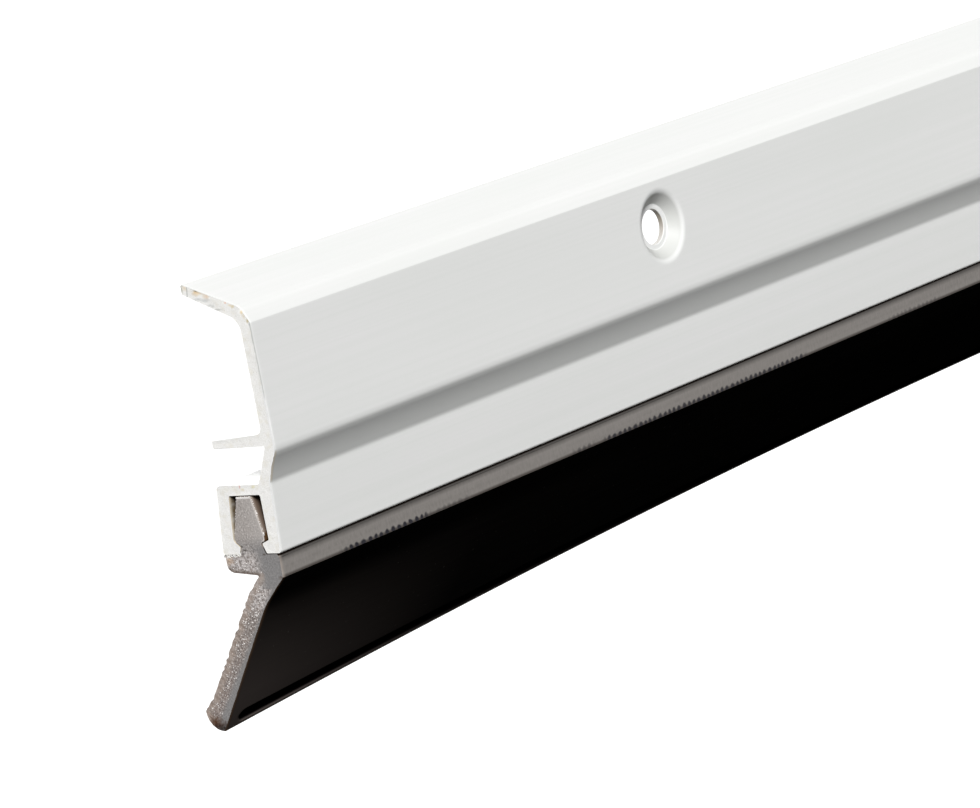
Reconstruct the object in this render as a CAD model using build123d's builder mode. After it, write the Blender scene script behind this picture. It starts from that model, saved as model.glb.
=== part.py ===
from build123d import *
from math import cos, radians, sin, tan
import os

os.makedirs("parts", exist_ok=True)

# Door bottom weather strip: a rigid carrier that is screwed to the foot of a door, and a
# flexible blade whose root is gripped in the carrier's channel. Millimetres. X runs along
# the strip, +Y points towards the door and +Z up. X = 0 is the middle of the length,
# Y = 0 the back of the upper web and Z = 0 the line of screws.

# Strip as sold
length = 914.0
hole_count = 4
hole_end_margin = 72.6

# Upper web, and the flange that leans up to the door
web_wall = 1.5
web_above_screws = 5.35
web_below_screws = 8.3
bevel_rise = 1.73
bevel_angle = 28.7
flange_angle = 20.8
flange_taper_angle = 3.1
flange_edge = 1.2
outer_corner_radius = 2.0
inner_corner_radius = 2.0

# Stand-off fin: its tip and the flange's edge lie in the plane of the door
door_gap = 7.1
fin_above_bend = 0.22
fin_tip_wall = 0.95
fin_root_wall = 1.4
fin_root_radius = 0.8

# Set-back from the upper web to the front leg of the channel
step_run = 1.56
step_drop = 3.35
step_hollow = 0.12
step_hollow_radius = 10.0
step_upper_radius = 3.0
step_lower_radius = 1.0

# Channel, open below, with a lip on each leg
front_leg_wall = 1.43
front_leg_angle = 3.1
roof_wall = 1.2
channel_width = 4.3
channel_height = 6.3
rear_leg_wall = 1.7
rear_leg_angle = 6.6
rear_top_radius = 0.6
lip_height = 1.5
lip_face_angle = 22.0
front_lip_reach = 1.05
front_lip_angle = 20.0
rear_lip_reach = 0.8
rear_lip_angle = 42.0
foot_radius = 0.32
edge_radius = 0.2

# Dimpled countersinks: the wall is pressed back into a low collar round each hole
hole_radius = 2.05
sink_radius = 4.05
sink_depth = 1.4
sink_angle = 90.0
sink_rim_radius = 1.4
collar_rise = 0.6
collar_root_radius = 3.7
collar_tip_radius = 3.1

# Root of the blade: a barbed arrow head on a neck
neck_gap = 0.08
barb_gap = 0.1
roof_gap = 0.22
barb_reach = 0.6
barb_edge = 0.7
barb_radius = 0.3
root_top_width = 2.1

# Shoulder under the channel
shoulder_setback = 0.42
shoulder_rear_inset = 0.2
shoulder_front_height = 2.6
shoulder_rear_height = 1.9
shoulder_nose_radius = 0.4
shoulder_heel_radius = 0.8

# Wiper: it hangs at one angle from the vertical at the root and at another past the bend. Its lower part
# droops at the sawn end and lies further back along the rest of the strip.
wiper_root_wall = 2.45
wiper_tip_wall = 2.75
wiper_length = 21.3
wiper_tip_bulge = 0.65
wiper_root_angle = 47.5
wiper_end_angle = 34.7
wiper_swing_angle = 16.5
wiper_bend_start = 2.8
wiper_bend_run = 3.6
droop_length = 180.0
droop_power = 2.3
droop_spans = 6
wiper_spans = 8

cut_overrun = 1.0

# Planes and levels of the carrier's section
web_front = -web_wall
web_top = web_above_screws
bend_z = -web_below_screws
leg_top_y = web_front + step_run
leg_top_z = bend_z - step_drop
roof_top = leg_top_z
roof_under = roof_top - roof_wall
foot_z = roof_under - channel_height
leg_foot_y = leg_top_y + (leg_top_z - foot_z) * tan(radians(front_leg_angle))
channel_front = leg_foot_y + front_leg_wall
lip_root_z = foot_z + lip_height

# Flange
bevel_y = web_front + bevel_rise * tan(radians(bevel_angle))
bevel_z = web_top + bevel_rise
flange_top_z = bevel_z + (door_gap - bevel_y) * tan(radians(flange_angle))
flange_low_z = flange_top_z - flange_edge
inner_corner_z = flange_low_z - door_gap * tan(radians(flange_angle + flange_taper_angle))

# Set-back: its front is a little hollow, and its back is parallel to it at the web's thickness
step_slant = Vector(step_run, -step_drop).normalized()
step_square = Vector(-step_slant.Y, step_slant.X)
step_middle = Vector(web_front + step_run / 2, bend_z - step_drop / 2) + step_hollow * step_square
step_back = Vector(web_front, bend_z) + web_wall * step_square
step_slope = step_slant.Y / step_slant.X
bend_back_z = step_back.Y - step_back.X * step_slope
roof_root_y = step_back.X + (roof_top - step_back.Y) / step_slope
fin_z = bend_back_z + fin_above_bend


def rear_leg_inner(z):
    return channel_front + channel_width + (roof_under - z) * tan(radians(rear_leg_angle))


def rear_leg_outer(z):
    return rear_leg_inner(z) + rear_leg_wall / cos(radians(rear_leg_angle))


# Lips: each one slopes down to its tip, and its face leans back to the foot
front_tip_y = channel_front + front_lip_reach
front_tip_z = lip_root_z - front_lip_reach * tan(radians(front_lip_angle))
front_lip_foot_y = front_tip_y - (front_tip_z - foot_z) * tan(radians(lip_face_angle))
rear_tip_y = rear_leg_inner(lip_root_z) - rear_lip_reach
rear_tip_z = lip_root_z - rear_lip_reach * tan(radians(rear_lip_angle))
rear_lip_foot_y = rear_tip_y + (rear_tip_z - foot_z) * tan(radians(lip_face_angle))

# Each corner of the section is (y, z, radius)
carrier_outline = [
    (door_gap, flange_top_z, edge_radius),
    (bevel_y, bevel_z, outer_corner_radius),
    (web_front, web_top, edge_radius),
    (web_front, bend_z, step_upper_radius),
    (step_middle.X, step_middle.Y, step_hollow_radius),
    (leg_top_y, leg_top_z, step_lower_radius),
    (leg_foot_y, foot_z, foot_radius),
    (front_lip_foot_y, foot_z, edge_radius),
    (front_tip_y, front_tip_z, edge_radius),
    (channel_front, lip_root_z, edge_radius),
    (channel_front, roof_under, edge_radius),
    (rear_leg_inner(roof_under), roof_under, edge_radius),
    (rear_leg_inner(lip_root_z), lip_root_z, edge_radius),
    (rear_tip_y, rear_tip_z, edge_radius),
    (rear_lip_foot_y, foot_z, edge_radius),
    (rear_leg_outer(foot_z), foot_z, foot_radius),
    (rear_leg_outer(roof_top), roof_top, rear_top_radius),
    (roof_root_y, roof_top, edge_radius),
    (0, bend_back_z, 0),
    (0, fin_z, 0),
    (door_gap, fin_z, edge_radius),
    (door_gap, fin_z + fin_tip_wall, edge_radius),
    (0, fin_z + fin_root_wall, fin_root_radius),
    (0, inner_corner_z, inner_corner_radius),
    (door_gap, flange_low_z, edge_radius),
]

end_plane = Plane.YZ.offset(-length / 2)
hole_pitch = (length - 2 * hole_end_margin) / (hole_count - 1)
hole_places = [-length / 2 + hole_end_margin + i * hole_pitch for i in range(hole_count)]

# Half section of a countersink, as (distance from its axis, y). A thin ledge is left
# between the cone and the hole.
sink_flare = tan(radians(sink_angle / 2))
ledge_y = web_front + sink_depth
ledge_radius = sink_radius - sink_depth * sink_flare
collar_profile = [
    (0, web_front / 2),
    (collar_root_radius, web_front / 2),
    (collar_root_radius, 0),
    (collar_tip_radius, collar_rise),
    (0, collar_rise),
]
sink_profile = [
    (0, web_front - cut_overrun),
    (sink_radius + cut_overrun * sink_flare, web_front - cut_overrun),
    (ledge_radius, ledge_y),
    (hole_radius, ledge_y),
    (hole_radius, collar_rise + cut_overrun),
    (0, collar_rise + cut_overrun),
]

with BuildPart() as carrier:
    with BuildSketch(end_plane):
        with BuildLine():
            FilletPolyline(
                *[(y, z) for y, z, radius in carrier_outline],
                radius=[radius for y, z, radius in carrier_outline],
                close=True,
            )
        make_face()
    extrude(amount=length)
    for profile, mode in ((collar_profile, Mode.ADD), (sink_profile, Mode.SUBTRACT)):
        for place in hole_places:
            with BuildSketch(Plane.XY.move(Location((place, 0, 0)))):
                with BuildLine():
                    Polyline(*profile, close=True)
                make_face()
            revolve(axis=Axis((place, 0, 0), (0, 1, 0)), mode=mode)
    web_faces = carrier.faces().filter_by(Axis.Y).sort_by(SortBy.AREA)[-2:]
    sink_rims = web_faces.sort_by(Axis.Y)[0].edges().filter_by(GeomType.CIRCLE)
    fillet(sink_rims, radius=sink_rim_radius)

# Blade root, from the slot between the lips. Its neck widens to the foot beside the lips' faces.
slot_front = front_tip_y
slot_rear = rear_tip_y
neck_front = slot_front + neck_gap
neck_rear = slot_rear - neck_gap
neck_foot_front = front_lip_foot_y + neck_gap
neck_foot_rear = rear_lip_foot_y - neck_gap
root_middle = (neck_front + neck_rear) / 2


def front_lip_top(y):
    return lip_root_z - (y - channel_front) * tan(radians(front_lip_angle))


def rear_lip_top(y):
    return rear_tip_z + (y - rear_tip_y) * tan(radians(rear_lip_angle))


barb_front = neck_front - barb_reach
barb_rear = neck_rear + barb_reach
barb_front_z = front_lip_top(barb_front) + barb_gap
barb_rear_z = rear_lip_top(barb_rear) + barb_gap
root_top = roof_under - roof_gap
shoulder_front = leg_foot_y + shoulder_setback
shoulder_rear = rear_leg_outer(foot_z) - shoulder_rear_inset

# The wiper starts at the shoulder's lower front corner, square to its own slant
wiper_start = Vector(shoulder_front, foot_z - shoulder_front_height)
root_slant = Vector(sin(radians(wiper_root_angle)), -cos(radians(wiper_root_angle)))
root_square = Vector(-root_slant.Y, root_slant.X)
wiper_back = wiper_start + wiper_root_wall * root_square
throat = wiper_back + root_slant * ((wiper_back.Y - wiper_start.Y) / -root_slant.Y)

root_outline = [
    (shoulder_front, foot_z, shoulder_nose_radius),
    (neck_foot_front, foot_z, 0),
    (neck_front, front_lip_top(neck_front) + barb_gap, edge_radius),
    (barb_front, barb_front_z, barb_radius),
    (barb_front, barb_front_z + barb_edge, barb_radius),
    (root_middle - root_top_width / 2, root_top, edge_radius),
    (root_middle + root_top_width / 2, root_top, edge_radius),
    (barb_rear, barb_rear_z + barb_edge, barb_radius),
    (barb_rear, barb_rear_z, barb_radius),
    (neck_rear, rear_lip_top(neck_rear) + barb_gap, edge_radius),
    (neck_foot_rear, foot_z, 0),
    (shoulder_rear, foot_z, edge_radius),
    (shoulder_rear, foot_z - shoulder_rear_height, shoulder_heel_radius),
    (throat.X, throat.Y, 0),
    (wiper_start.X, wiper_start.Y, 0),
]


def wiper_angle(run, end_angle):
    """Angle from the vertical at a run down the wiper: level, an even bend, level again."""
    bent = min(max((run - wiper_bend_start) / wiper_bend_run, 0), 1)
    eased = bent * bent * (3 - 2 * bent)
    return wiper_root_angle + (end_angle - wiper_root_angle) * eased


def wiper_faces(end_angle):
    """Points down the front and the back of the wiper, and the crown of its tip."""
    stride = wiper_length / wiper_spans
    middle = wiper_start + root_square * (wiper_root_wall / 2)
    front, back = [], []
    for i in range(wiper_spans + 1):
        hang = radians(wiper_angle(i * stride, end_angle))
        slant = Vector(sin(hang), -cos(hang))
        square = Vector(cos(hang), sin(hang))
        wall = wiper_root_wall + (wiper_tip_wall - wiper_root_wall) * i / wiper_spans
        front.append(middle - square * (wall / 2))
        back.append(middle + square * (wall / 2))
        crown = middle + slant * wiper_tip_bulge
        midway = radians(wiper_angle((i + 0.5) * stride, end_angle))
        middle = middle + Vector(sin(midway), -cos(midway)) * stride
    return front, back, crown


def droop_angle(run):
    """Hang of the wiper's lower part at a distance from the sawn end."""
    return wiper_end_angle + wiper_swing_angle * (1 - (1 - run / droop_length) ** droop_power)


with BuildPart() as blade:
    with BuildSketch(end_plane):
        with BuildLine():
            FilletPolyline(
                *[(y, z) for y, z, radius in root_outline],
                radius=[radius for y, z, radius in root_outline],
                close=True,
            )
        make_face()
    extrude(amount=length)
    for i in range(droop_spans + 1):
        run = i * droop_length / droop_spans
        front, back, crown = wiper_faces(droop_angle(run))
        with BuildSketch(end_plane.offset(run)) as wiper_section:
            with BuildLine():
                Spline(*front)
                ThreePointArc(front[-1], crown, back[-1])
                Spline(*reversed(back))
                Line(back[0], front[0])
            make_face()
    loft()
    extrude(wiper_section.sketch, amount=length - droop_length)

for piece, name in ((carrier, "carrier"), (blade, "blade")):
    piece.part.label = name
    export_step(piece.part, f"parts/{name}.step")
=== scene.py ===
import bmesh
import bpy
import functools
import math
import random
import numpy as np
from mathutils import Matrix, Vector, noise
from mathutils.geometry import delaunay_2d_cdt


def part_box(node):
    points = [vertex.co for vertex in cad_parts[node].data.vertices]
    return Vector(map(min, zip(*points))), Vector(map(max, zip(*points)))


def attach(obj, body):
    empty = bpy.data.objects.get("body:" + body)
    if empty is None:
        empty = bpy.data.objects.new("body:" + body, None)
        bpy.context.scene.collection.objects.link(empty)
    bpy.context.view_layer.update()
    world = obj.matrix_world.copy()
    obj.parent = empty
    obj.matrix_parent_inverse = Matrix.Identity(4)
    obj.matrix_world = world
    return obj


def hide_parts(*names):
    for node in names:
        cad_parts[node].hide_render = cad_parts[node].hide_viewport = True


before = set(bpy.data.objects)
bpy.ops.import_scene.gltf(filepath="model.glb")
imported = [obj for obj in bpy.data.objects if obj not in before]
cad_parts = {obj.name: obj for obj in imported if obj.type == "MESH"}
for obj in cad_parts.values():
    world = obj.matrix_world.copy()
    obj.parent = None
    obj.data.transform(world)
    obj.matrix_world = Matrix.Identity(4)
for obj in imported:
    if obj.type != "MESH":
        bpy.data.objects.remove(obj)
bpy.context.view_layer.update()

# Door bottom weather strip: a rigid white carrier and the flexible blade gripped in its channel.
# Lengths in the dictionaries are millimetres, in the frame's own axes: X along the strip,
# +Y towards the door, +Z up. Each section is drawn in (y, z) and swept along X.

stripLow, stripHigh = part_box("carrier")
mm = 0.001
nearEnd = stripLow[0] / mm      # the sawn end that faces the camera
length = stripHigh[0] / mm - nearEnd
print("frame loaded, strip length", round(length, 1), "mm")


# Small tools

def lean(degrees):
    return math.tan(math.radians(degrees))


def clamp(value):
    return min(max(value, 0.0), 1.0)


def ease(value, start, stop):
    t = clamp((value - start) / (stop - start))
    return t * t * (3 - 2 * t)


def linear(hexColour):
    # sRGB hex to the linear colour that a socket takes
    parts = [int(hexColour[i:i + 2], 16) / 255 for i in (1, 3, 5)]
    return [p / 12.92 if p <= 0.04045 else ((p + 0.055) / 1.055) ** 2.4 for p in parts] + [1.0]


def roundPath(corners, closed=True, support=0.1):
    # (a, b, radius) corners to points: every radius becomes an arc, with one point a little
    # outside each end of it so that flats shade flat. A fourth number divides the run that follows
    points = []
    count = len(corners)
    for i, (a, b, radius, *spans) in enumerate(corners):
        here = Vector((a, b))
        after = Vector(corners[(i + 1) % count][:2])
        before = Vector(corners[i - 1][:2])
        if radius and (closed or 0 < i < count - 1):
            back = (before - here).normalized()
            ahead = (after - here).normalized()
            half = back.angle(ahead) / 2
            reach = radius / math.tan(half)
            centre = here + (back + ahead).normalized() * radius / math.sin(half)
            start = here + back * reach
            finish = here + ahead * reach
            bend = math.degrees(math.pi - 2 * half)
            steps = max(2, math.ceil(bend / (8 if radius > 0.5 else 16)))     # degrees a step
            if (before - here).length > reach + 3 * support:
                points.append(here + back * (reach + support))
            turn = (start - centre).angle_signed(finish - centre)
            for k in range(steps + 1):
                arm = start - centre
                arm.rotate(Matrix.Rotation(-turn * k / steps, 2))
                points.append(centre + arm)
            if (after - here).length > reach + 3 * support:
                points.append(here + ahead * (reach + support))
        else:
            points.append(here)
        if spans:
            last = points[-1]
            points += [last.lerp(after, k / spans[0]) for k in range(1, spans[0])]
    return points


class Outline:
    # a closed loop of section points that answers how far a spot lies from it

    def __init__(self, loop):
        self.starts = np.array([(p.x, p.y) for p in loop])
        self.runs = np.roll(self.starts, -1, axis=0) - self.starts
        ends = self.starts + self.runs
        area = (self.starts[:, 0] * ends[:, 1] - self.starts[:, 1] * ends[:, 0]).sum()
        lengths = np.maximum(np.hypot(*self.runs.T), 1e-9)[:, None]
        square = np.stack([self.runs[:, 1], -self.runs[:, 0]], 1)
        self.normals = square / lengths * math.copysign(1, area)

    def measure(self, spot):
        # gap to the loop, whether the spot is inside, and which way the nearest edge faces
        rel = np.array((spot.x, spot.y)) - self.starts
        share = np.clip((rel * self.runs).sum(1) / np.maximum((self.runs ** 2).sum(1), 1e-12), 0, 1)
        gaps = np.hypot(*(rel - self.runs * share[:, None]).T)
        nearest = int(gaps.argmin())
        a, b = self.starts, self.starts + self.runs
        straddles = (a[:, 1] > spot.y) != (b[:, 1] > spot.y)
        with np.errstate(divide="ignore", invalid="ignore"):
            crossing = a[:, 0] + (spot.y - a[:, 1]) / self.runs[:, 1] * self.runs[:, 0]
        inside = int((straddles & (spot.x < crossing)).sum()) % 2 == 1
        return float(gaps[nearest]), inside, self.normals[nearest]


# what a point knows about its place: on a sawn face its gap to the outline, which way the
# outline faces there and how torn it is, and on the wiper 1 on its bead and -1 in its groove
marks = ("rim", "faceUp", "faceFront", "torn", "bead")


def pullIn(loop, amount):
    # the same loop with every point moved inwards, square to the outline
    outline = Outline(loop)
    square = outline.normals + np.roll(outline.normals, 1, axis=0)
    square /= np.maximum(np.hypot(*square.T), 1e-9)[:, None]
    return [p - Vector(n) * amount for p, n in zip(loop, square)]


def raggedEdge(loop, fromEnd, sizes, rng):
    # beside a cut the section draws in a little, so that its edge is round, and turns ragged
    near = 1 - ease(fromEnd, 0, sizes["cutReach"])
    if near:
        loop = pullIn(loop, sizes["cutRound"] * near ** sizes["cutFade"])
    ragged = sizes["cutRagged"]
    return [p + Vector((rng.uniform(-1, 1), rng.uniform(-1, 1))) * ragged * near for p in loop]


def sawnFace(bm, ring, loop, facing, sizes, tornAt, rng):
    # fills an end with fine triangles whose inner points stand a little in and out, more
    # where the saw tore the plastic; tornAt(y, z) says how much, from 0 to 1
    step = sizes["sawGrain"]
    smooth, rough = sizes["sawSmooth"], sizes["sawRough"]
    outline = Outline(loop)
    low, high = outline.starts.min(0), outline.starts.max(0)
    points = list(loop)
    known = [(0.0, *outline.measure(p)[2]) for p in loop]
    for row in range(int((high[1] - low[1]) / step) + 1):
        for column in range(int((high[0] - low[0]) / step) + 1):
            spot = Vector((low[0] + (column + 0.5 * (row % 2)) * step, low[1] + row * step))
            spot += Vector((rng.uniform(-0.3, 0.3), rng.uniform(-0.3, 0.3))) * step
            gap, inside, normal = outline.measure(spot)
            if inside and gap > 0.45 * step:
                points.append(spot)
                known.append((gap, *normal))
    count = len(loop)
    edges = [(i, (i + 1) % count) for i in range(count)]
    result = delaunay_2d_cdt(points, edges, [], 1, 1e-7)
    layers = [bm.verts.layers.float[name] for name in marks]
    verts = []
    for spot, sources in zip(result[0], result[3]):
        source = min(sources) if sources else 0
        gap, faceY, faceZ = known[source]
        torn = tornAt(spot.x, spot.y)
        if sources and source < count:
            vert = ring[source]
        else:
            depth = rng.uniform(0, 1) * (smooth + (rough - smooth) * torn)
            vert = bm.verts.new(Vector((ring[0].co.x / mm + facing * depth, spot.x, spot.y)) * mm)
        for layer, value in zip(layers, (gap, faceZ, -faceY, torn)):
            vert[layer] = value
        verts.append(vert)
    for corners in result[2]:
        bm.faces.new([verts[i] for i in corners]).material_index = 1


def crumb(bm, centre, size, rng, index):
    # one torn crumb: a lumpy flattened ball, centre and size in millimetres
    made = bmesh.ops.create_icosphere(bm, subdivisions=2, radius=1.0)["verts"]
    turn = Matrix.Rotation(rng.uniform(0, math.tau), 3, "X")
    turn = turn @ Matrix.Rotation(rng.uniform(0, math.tau), 3, "Z")
    shape = Vector((rng.uniform(0.35, 0.7), rng.uniform(0.7, 1.1), rng.uniform(0.6, 1.0)))
    offset = Vector((rng.uniform(0, 50), rng.uniform(0, 50), rng.uniform(0, 50)))
    for vert in made:
        lump = 1 + 0.45 * noise.noise(vert.co * 1.6 + offset)
        vert.co = (turn @ (vert.co * lump * shape) * size + Vector(centre)) * mm
        vert.co.x = max(vert.co.x, nearEnd * mm)      # flat where it would stand out past the cut
    for face in {face for vert in made for face in vert.link_faces}:
        face.material_index = index


def chip(bm, spot, size, depth, reach):
    # presses the near end in round a (y, z) spot; size holds the half width in y and in z
    for vert in bm.verts:
        fromEnd = vert.co.x / mm - nearEnd
        far = math.hypot((vert.co.y / mm - spot[0]) / size[0], (vert.co.z / mm - spot[1]) / size[1])
        if fromEnd < reach and far < 1:
            vert.co.x += depth * (1 - far * far) * (1 - fromEnd / reach) ** 2 * mm


def sweep(sections, stations, skip=None):
    # joins the section points at each station into a tube; skip leaves out windows
    bm = bmesh.new()
    for name in marks:
        bm.verts.layers.float.new(name)
    rings = []
    for x, section in zip(stations, sections):
        rings.append([bm.verts.new(Vector((x, p.x, p.y)) * mm) for p in section])
    count = len(rings[0])
    for i in range(len(rings) - 1):
        for j in range(count):
            k = (j + 1) % count
            if not skip or not skip(i, j):
                bm.faces.new((rings[i][j], rings[i][k], rings[i + 1][k], rings[i + 1][j]))
    return bm, rings


def finishMesh(bm, name, materials):
    sharpAngle = 35       # degrees between faces above which their edge shades sharp
    bmesh.ops.recalc_face_normals(bm, faces=bm.faces)
    mesh = bpy.data.meshes.new(name)
    bm.to_mesh(mesh)
    bm.free()
    for face in mesh.polygons:
        face.use_smooth = True
    mesh.set_sharp_from_angle(angle=math.radians(sharpAngle))
    for material in materials:
        mesh.materials.append(material)
    piece = bpy.data.objects.new(name, mesh)
    bpy.context.collection.objects.link(piece)
    print(name, "built,", len(mesh.polygons), "faces")
    return piece


# distances from a cut at which the section is always drawn: close together where the edge is
# ragged and where the wiper's groove ends
cutStations = [0, 0.05, 0.12, 0.22, 0.36, 0.6, 1.0, 1.6, 1.85, 2.1, 2.35, 2.6, 2.9, 3.3,
               4.0, 6.0, 9.0, 13.0]


def placesAlong(pitchPlan):
    # distances from the sawn end at which the section is drawn; each pitch holds up to a distance
    places = list(cutStations)
    for pitch, until in pitchPlan:
        while places[-1] + pitch < until:
            places.append(places[-1] + pitch)
    places = [p for p in places if p < length - cutStations[-1] - 1]
    return places + [length - p for p in reversed(cutStations)]


# Nodes

def addNode(tree, kind, inputs, out=0, stops=(), **settings):
    # one node with its settings and links, handed back as its output. Its kind may be followed
    # by its operation. An input is a value, an sRGB hex colour or the output that feeds it, and
    # stops fill a colour ramp
    kind, _, operation = kind.partition(" ")
    node = tree.nodes.new("ShaderNode" + kind)
    if operation:
        node.operation = operation
    for name, value in settings.items():
        setattr(node, name, value)
    for key, value in inputs.items():
        if isinstance(value, bpy.types.NodeSocket):
            tree.links.new(value, node.inputs[key])
        else:
            node.inputs[key].default_value = linear(value) if isinstance(value, str) else value
    for i, (position, colour) in enumerate(stops):
        elements = node.color_ramp.elements
        element = elements[i] if i < 2 else elements.new(position)
        element.position = position
        element.color = linear(colour)
    return node.outputs[out] if node.outputs else node


def newMaterial(name, roughness, specular):
    # an empty material, a way to add its nodes, and the place of a spot in millimetres
    material = bpy.data.materials.new(name)
    material.use_nodes = True
    shader = material.node_tree.nodes["Principled BSDF"]
    shader.inputs["Roughness"].default_value = roughness
    shader.inputs["Specular IOR Level"].default_value = specular
    shader.inputs["IOR"].default_value = 1.53      # PVC
    add = functools.partial(addNode, material.node_tree)
    place = add("TexCoord", {}, "Object")
    place = add("VectorMath MULTIPLY", {0: place, 1: (1 / mm,) * 3})
    return material, add, place


def finishMaterial(material, add, tone, *reliefs):
    # each relief is a height and how far it stands out in millimetres, laid over the last
    shader = material.node_tree.nodes["Principled BSDF"]
    material.node_tree.links.new(tone, shader.inputs["Base Color"])
    under = {}
    for height, rise in reliefs:
        under["Normal"] = add("Bump", {"Height": height, "Distance": rise * mm, **under})
    material.node_tree.links.new(under["Normal"], shader.inputs["Normal"])
    print("material", material.name)
    return material


def within(add, value, low, high, soft):
    # 1 between low and high, falling to 0 over soft on each side; None leaves a side open
    share = 1.0
    if low is not None:
        share = add("MapRange", {0: value, 1: low - soft, 2: low})
    if high is not None:
        share = add("MapRange", {0: value, 1: high, 2: high + soft, 3: share, 4: 0.0})
    return share


def grain(add, place, size, stretch=(1, 1, 1), detail=2.0, roughness=0.5):
    # noise whose blobs are about size millimetres, drawn out along an axis by stretch
    scale = tuple(1 / (size * s) for s in stretch)
    place = add("VectorMath MULTIPLY", {0: place, 1: scale})
    return add("TexNoise", {"Vector": place, "Scale": 1.0, "Detail": detail, "Roughness": roughness})


def paint(add, tone, colour, *masks):
    # lays a colour over a tone where all the masks are 1
    share = masks[0]
    for mask in masks[1:]:
        share = add("Math MULTIPLY", {0: share, 1: mask})
    return add("Mix", {0: share, 6: tone, 7: colour}, 2, data_type="RGBA")


def spots(add, place, tone, stains, fray):
    # frayed spots at (y, z) places of the section, each with its half width in y and in z
    for y, z, wide, high, colour in stains:
        apart = add("VectorMath SUBTRACT", {0: place, 1: (0, y, z)})
        apart = add("VectorMath MULTIPLY", {0: apart, 1: (0, 1 / wide, 1 / high)})
        far = add("VectorMath LENGTH", {0: apart}, "Value")
        far = add("Math MULTIPLY_ADD", {0: fray, 1: 2.4, 2: far})
        tone = paint(add, tone, colour, add("MapRange", {0: far, 1: 1.3, 2: 2.9, 3: 0.95, 4: 0.0}))
    return tone


# Carrier

carrierSizes = {
    "webWall": 1.5, "webAboveScrews": 5.35, "webBelowScrews": 8.3,
    "bevelRise": 1.73, "bevelLean": 28.7, "flangePitch": 20.8, "flangeTaper": 3.1,
    "flangeEdge": 1.2, "outerCorner": 2.0, "innerCorner": 2.0,
    "doorGap": 7.1, "finAboveBend": 0.22, "finTipWall": 0.95, "finRootWall": 1.4, "finRootCorner": 0.8,
    "stepRun": 1.56, "stepDrop": 3.35, "stepHollow": 0.2, "stepHollowCorner": 8.0,
    "stepUpperCorner": 2.2, "stepLowerCorner": 1.0,
    "frontLegWall": 1.43, "frontLegLean": 3.1, "roofWall": 1.2,
    "channelWidth": 4.3, "channelHeight": 6.3,
    "rearLegWall": 1.7, "rearLegLean": 6.6, "rearTopCorner": 0.6,
    "lipHeight": 1.5, "lipFaceLean": 22.0, "frontLipReach": 1.05, "frontLipSlope": 20.0,
    "rearLipReach": 0.8, "rearLipSlope": 42.0, "footCorner": 0.32, "edgeCorner": 0.2,
    "holes": 4, "holeEndMargin": 72.6, "holeRadius": 2.05,
    "sinkRadius": 4.05, "sinkDepth": 1.4, "sinkRim": 1.15, "holeEdge": 0.12,
    "collarRise": 0.6, "collarRoot": 3.7, "collarTip": 3.1,
    "window": 4.9, "rearWindow": 4.1, "windowSpans": 20,
    # how far the cut's edge is rounded and ragged, how fine and deep the saw's grain is
    "cutReach": 0.2, "cutRound": 0.05, "cutFade": 1, "cutRagged": 0.025,
    "sawGrain": 0.25, "sawSmooth": 0.03, "sawRough": 0.03,
    # crumbs under the rear leg's foot and up its back
    "footCrumbs": 280, "legCrumbs": 12, "seed": 11,
}
c = carrierSizes
webFront = -c["webWall"]
bendZ = -c["webBelowScrews"]
legTopY = webFront + c["stepRun"]
roofTop = bendZ - c["stepDrop"]
roofUnder = roofTop - c["roofWall"]
footZ = roofUnder - c["channelHeight"]
legFootY = legTopY + (roofTop - footZ) * lean(c["frontLegLean"])
channelFront = legFootY + c["frontLegWall"]
lipRootZ = footZ + c["lipHeight"]
bevelY = webFront + c["bevelRise"] * lean(c["bevelLean"])
bevelZ = c["webAboveScrews"] + c["bevelRise"]
flangeTopZ = bevelZ + (c["doorGap"] - bevelY) * lean(c["flangePitch"])
flangeLowZ = flangeTopZ - c["flangeEdge"]
innerCornerZ = flangeLowZ - c["doorGap"] * lean(c["flangePitch"] + c["flangeTaper"])
holePitch = (length - 2 * c["holeEndMargin"]) / (c["holes"] - 1)
holePlaces = [c["holeEndMargin"] + i * holePitch for i in range(c["holes"])]


def rearLegInner(z):
    return channelFront + c["channelWidth"] + (roofUnder - z) * lean(c["rearLegLean"])


def rearLegOuter(z):
    return rearLegInner(z) + c["rearLegWall"] / math.cos(math.radians(c["rearLegLean"]))


# the lips' tips, and the feet that their faces lean down to
frontTipY = channelFront + c["frontLipReach"]
frontTipZ = lipRootZ - c["frontLipReach"] * lean(c["frontLipSlope"])
rearTipY = rearLegInner(lipRootZ) - c["rearLipReach"]
rearTipZ = lipRootZ - c["rearLipReach"] * lean(c["rearLipSlope"])
frontFootY = frontTipY - (frontTipZ - footZ) * lean(c["lipFaceLean"])
rearFootY = rearTipY + (rearTipZ - footZ) * lean(c["lipFaceLean"])

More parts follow.
